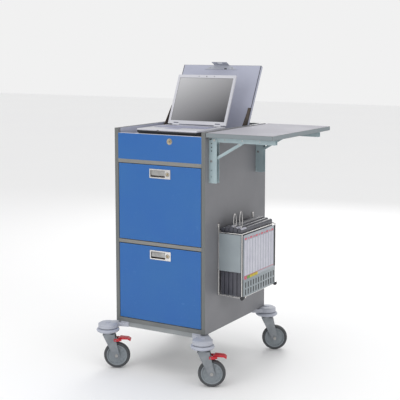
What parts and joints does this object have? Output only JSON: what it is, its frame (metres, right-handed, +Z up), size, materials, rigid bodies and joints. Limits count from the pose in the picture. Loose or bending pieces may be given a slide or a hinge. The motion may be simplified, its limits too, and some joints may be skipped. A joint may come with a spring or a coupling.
{
  "type": "medication cart",
  "caption": "Ward medication cart: castored cabinet with deep drawers, lidded laptop compartment, fold-down side shelf and wire chart rack.",
  "frame": {"origin": "bottom centre of the whole cart's box, on the floor", "axes": "+Z up, front towards -Y, the shelf and rack side towards +X"},
  "size_m": [0.9099, 0.7658, 1.4738],
  "materials": {
    "panel": "satin grey laminate",
    "edge": "light grey edge band",
    "blue_front": "satin blue",
    "frame_grey": "satin light grey",
    "cast_grey": "moulded pale grey",
    "bracket": "pale blue-grey enamel",
    "steel": "zinc plated steel",
    "chrome": "bright plating",
    "black": "black moulding",
    "lid": "satin lilac grey laminate",
    "silver_plastic": "silver paint",
    "keys": "pale keys",
    "display": "dark display",
    "tyre": "dark grey rubber",
    "rim": "grey nylon",
    "red": "red moulding",
    "wire": "plated wire",
    "paper": "index sheet",
    "binder": "dark binder board"
  },
  "bodies": {
    "cabinet": {"left_side_panel": "panel", "right_side_panel": "panel", "back_panel": "panel", "bottom_panel": "edge", "middle_rail": "edge", "compartment_floor": "edge", "front_fascia": "blue_front", "rear_top_panel": "edge", "drawer_runners": "steel", "base_frame": "frame_grey", "corner_housings": "cast_grey", "bumper_rings": "cast_grey", "lid_hinge_plates": "black", "lift_rails": "steel", "bracket_legs": "bracket", "bracket_pins": "steel", "rack_frame": "wire", "rack_end_panel": "frame_grey", "rack_index_panel": "paper", "chart_binders": "binder"},
    "lid_lock": {"fascia_lock": "chrome"},
    "upper_drawer": {"upper_drawer_front": "blue_front", "upper_drawer_box": "frame_grey", "upper_drawer_slides": "steel", "upper_handle_frame": "chrome"},
    "upper_flap": {"upper_handle_flap": "black"},
    "upper_lock": {"upper_drawer_lock": "chrome"},
    "lower_drawer": {"lower_drawer_front": "blue_front", "lower_drawer_box": "frame_grey", "lower_drawer_slides": "steel", "lower_handle_frame": "chrome"},
    "lower_flap": {"lower_handle_flap": "black"},
    "lower_lock": {"lower_drawer_lock": "chrome"},
    "lid": {"lid_panel": "lid", "lid_hinge_arms": "black", "latch_plate": "chrome"},
    "tray": {"laptop_tray": "steel", "lift_carriages": "steel", "laptop_base": "silver_plastic", "laptop_keys": "keys"},
    "screen": {"laptop_screen_housing": "silver_plastic", "laptop_display": "display"},
    "shelf": {"shelf_board": "lid", "bracket_arms": "bracket"},
    "braces": {"shelf_braces": "bracket"},
    "front_left_caster": {"front_left_fork": "rim"},
    "front_left_roller": {"front_left_wheel": "rim", "front_left_tyre": "tyre"},
    "front_left_brake": {"front_left_pedal": "red"},
    "front_right_caster": {"front_right_fork": "rim"},
    "front_right_roller": {"front_right_wheel": "rim", "front_right_tyre": "tyre"},
    "front_right_brake": {"front_right_pedal": "red"},
    "rear_left_caster": {"rear_left_fork": "rim"},
    "rear_left_roller": {"rear_left_wheel": "rim", "rear_left_tyre": "tyre"},
    "rear_right_caster": {"rear_right_fork": "rim"},
    "rear_right_roller": {"rear_right_wheel": "rim", "rear_right_tyre": "tyre"}
  },
  "joints": [
    {"name": "upper_drawer_slide", "type": "slide", "parent": "cabinet", "child": "upper_drawer", "axis": [0, -1, 0], "range_m": [0, 0.45]},
    {"name": "lower_drawer_slide", "type": "slide", "parent": "cabinet", "child": "lower_drawer", "axis": [0, -1, 0], "range_m": [0, 0.45]},
    {"name": "upper_flap_hinge", "type": "hinge", "parent": "upper_drawer", "child": "upper_flap", "pos_m": [-0.127, -0.27289, 0.975], "axis": [1, 0, 0], "range_deg": [0, 25], "stiffness_Nm_per_rad": 0.05},
    {"name": "upper_lock_turn", "type": "hinge", "parent": "upper_drawer", "child": "upper_lock", "pos_m": [-0.085, -0.27689, 0.963], "axis": [0, 1, 0], "range_deg": [0, 90]},
    {"name": "lower_flap_hinge", "type": "hinge", "parent": "lower_drawer", "child": "lower_flap", "pos_m": [-0.127, -0.27289, 0.587], "axis": [1, 0, 0], "range_deg": [0, 25], "stiffness_Nm_per_rad": 0.05},
    {"name": "lower_lock_turn", "type": "hinge", "parent": "lower_drawer", "child": "lower_lock", "pos_m": [-0.085, -0.27689, 0.575], "axis": [0, 1, 0], "range_deg": [0, 90]},
    {"name": "lid_lock_turn", "type": "hinge", "parent": "cabinet", "child": "lid_lock", "pos_m": [-0.074, -0.27689, 1.117], "axis": [0, 1, 0], "range_deg": [0, 90]},
    {"name": "lid_hinge", "type": "hinge", "parent": "cabinet", "child": "lid", "pos_m": [-0.133, 0.13411, 1.115], "axis": [1, 0, 0], "range_deg": [0, 117]},
    {"name": "tray_lift", "type": "slide", "parent": "cabinet", "child": "tray", "axis": [0, 0, -1], "range_m": [0, 0.058]},
    {"name": "screen_hinge", "type": "hinge", "parent": "tray", "child": "screen", "pos_m": [-0.121, 0.04211, 1.1688], "axis": [1, 0, 0], "range_deg": [0, 114]},
    {"name": "shelf_hinge", "type": "hinge", "parent": "cabinet", "child": "shelf", "pos_m": [0.145, -0.27689, 1.132], "axis": [0, 1, 0], "range_deg": [0, 90]},
    {"name": "brace_hinge", "type": "hinge", "parent": "cabinet", "child": "braces", "pos_m": [0.13, -0.27689, 1.035], "axis": [0, 1, 0], "range_deg": [0, 120.07]},
    {"name": "front_left_swivel", "type": "hinge", "parent": "cabinet", "child": "front_left_caster", "pos_m": [-0.399, -0.32689, 0.186], "axis": [0, 0, 1], "continuous": true},
    {"name": "front_left_axle", "type": "hinge", "parent": "front_left_caster", "child": "front_left_roller", "pos_m": [-0.36103, -0.3067, 0.064], "axis": [-0.4695, 0.8829, 0], "continuous": true},
    {"name": "front_left_pedal_press", "type": "hinge", "parent": "front_left_caster", "child": "front_left_brake", "pos_m": [-0.36545, -0.30905, 0.142], "axis": [-0.4695, 0.8829, 0], "range_deg": [0, 10]},
    {"name": "front_right_swivel", "type": "hinge", "parent": "cabinet", "child": "front_right_caster", "pos_m": [0.133, -0.32689, 0.186], "axis": [0, 0, 1], "continuous": true},
    {"name": "front_right_axle", "type": "hinge", "parent": "front_right_caster", "child": "front_right_roller", "pos_m": [0.17097, -0.3067, 0.064], "axis": [-0.4695, 0.8829, 0], "continuous": true},
    {"name": "front_right_pedal_press", "type": "hinge", "parent": "front_right_caster", "child": "front_right_brake", "pos_m": [0.16655, -0.30905, 0.142], "axis": [-0.4695, 0.8829, 0], "range_deg": [0, 10]},
    {"name": "rear_left_swivel", "type": "hinge", "parent": "cabinet", "child": "rear_left_caster", "pos_m": [-0.399, 0.32311, 0.186], "axis": [0, 0, 1], "continuous": true},
    {"name": "rear_left_axle", "type": "hinge", "parent": "rear_left_caster", "child": "rear_left_roller", "pos_m": [-0.36103, 0.3433, 0.064], "axis": [-0.4695, 0.8829, 0], "continuous": true},
    {"name": "rear_right_swivel", "type": "hinge", "parent": "cabinet", "child": "rear_right_caster", "pos_m": [0.133, 0.32311, 0.186], "axis": [0, 0, 1], "continuous": true},
    {"name": "rear_right_axle", "type": "hinge", "parent": "rear_right_caster", "child": "rear_right_roller", "pos_m": [0.17097, 0.3433, 0.064], "axis": [-0.4695, 0.8829, 0], "continuous": true}
  ],
  "couplings": [
    {"joint": "tray_lift", "follows": "lid_hinge", "m_per_rad": 0.028403},
    {"joint": "screen_hinge", "follows": "lid_hinge", "ratio": 0.97435},
    {"joint": "brace_hinge", "follows": "shelf_hinge", "ratio": 1.3341}
  ]
}
